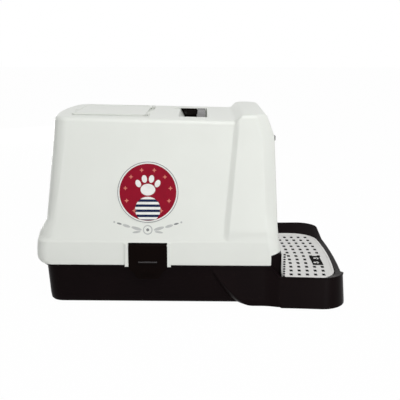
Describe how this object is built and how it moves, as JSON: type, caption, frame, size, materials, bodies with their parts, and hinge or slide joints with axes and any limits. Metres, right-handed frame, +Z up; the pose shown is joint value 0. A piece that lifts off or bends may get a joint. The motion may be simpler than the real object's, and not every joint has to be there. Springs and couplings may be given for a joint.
{
  "type": "hooded cat litter box",
  "caption": "Litter pan with a perforated entry step under a lift-off hood with a swing door, folding carry handle, filter hatch and side latches.",
  "frame": {"origin": "Middle of the footprint, on the floor: the box stands on Z = 0 and its length and width are centred.", "axes": "+X from the rear to the entry step, +Y to the far side of the box, +Z up."},
  "size_m": [0.6251, 0.442, 0.3745],
  "materials": {
    "white_plastic": "satin",
    "dark_plastic": "satin",
    "black_plastic": "semi-gloss",
    "light_plastic": "matte",
    "clear_plastic": "clear, lightly smoked",
    "charcoal_felt": "felt",
    "steel": "drawn",
    "badge_print": "printed film"
  },
  "bodies": {
    "pan": {"pan": "dark_plastic", "entry_step": "dark_plastic"},
    "grate": {"grate": "light_plastic", "grate_nameplate": "dark_plastic"},
    "hood": {"hood_shell": "white_plastic", "handle_frame": "black_plastic", "handle_pins": "steel", "filter_tray": "light_plastic", "filter_pad": "charcoal_felt", "hatch_pins": "steel", "latch_pin_near": "steel", "latch_pin_far": "steel", "door_clip_near": "black_plastic", "door_clip_far": "black_plastic", "badge_near": "badge_print", "badge_far": "badge_print"},
    "handle": {"carry_handle": "black_plastic"},
    "hatch": {"hatch_lid": "white_plastic"},
    "latch_near": {"latch_near": "black_plastic"},
    "latch_far": {"latch_far": "black_plastic"},
    "door": {"door_flap": "clear_plastic", "door_spindle": "steel"}
  },
  "joints": [
    {"name": "hood_lift", "type": "slide", "parent": "pan", "child": "hood", "axis": [0, 0, 1], "range_m": [0, 0.35]},
    {"name": "grate_lift", "type": "slide", "parent": "pan", "child": "grate", "axis": [0, 0, 1], "range_m": [0, 0.12]},
    {"name": "hatch_hinge", "type": "hinge", "parent": "hood", "child": "hatch", "pos_m": [-0.09447, 0, 0.36689], "axis": [0, 1, 0], "range_deg": [0, 100]},
    {"name": "handle_hinge", "type": "hinge", "parent": "hood", "child": "handle", "pos_m": [-0.02069, 0, 0.35391], "axis": [0, -1, 0], "range_deg": [0, 95]},
    {"name": "latch_near_hinge", "type": "hinge", "parent": "hood", "child": "latch_near", "pos_m": [-0.0885, -0.2, 0.122], "axis": [-1, 0, 0], "range_deg": [0, 120]},
    {"name": "latch_far_hinge", "type": "hinge", "parent": "hood", "child": "latch_far", "pos_m": [-0.0885, 0.2, 0.122], "axis": [1, 0, 0], "range_deg": [0, 120]},
    {"name": "door_swing", "type": "hinge", "parent": "hood", "child": "door", "pos_m": [0.1575, 0, 0.325], "axis": [0, -1, 0], "range_deg": [-70, 70]}
  ]
}
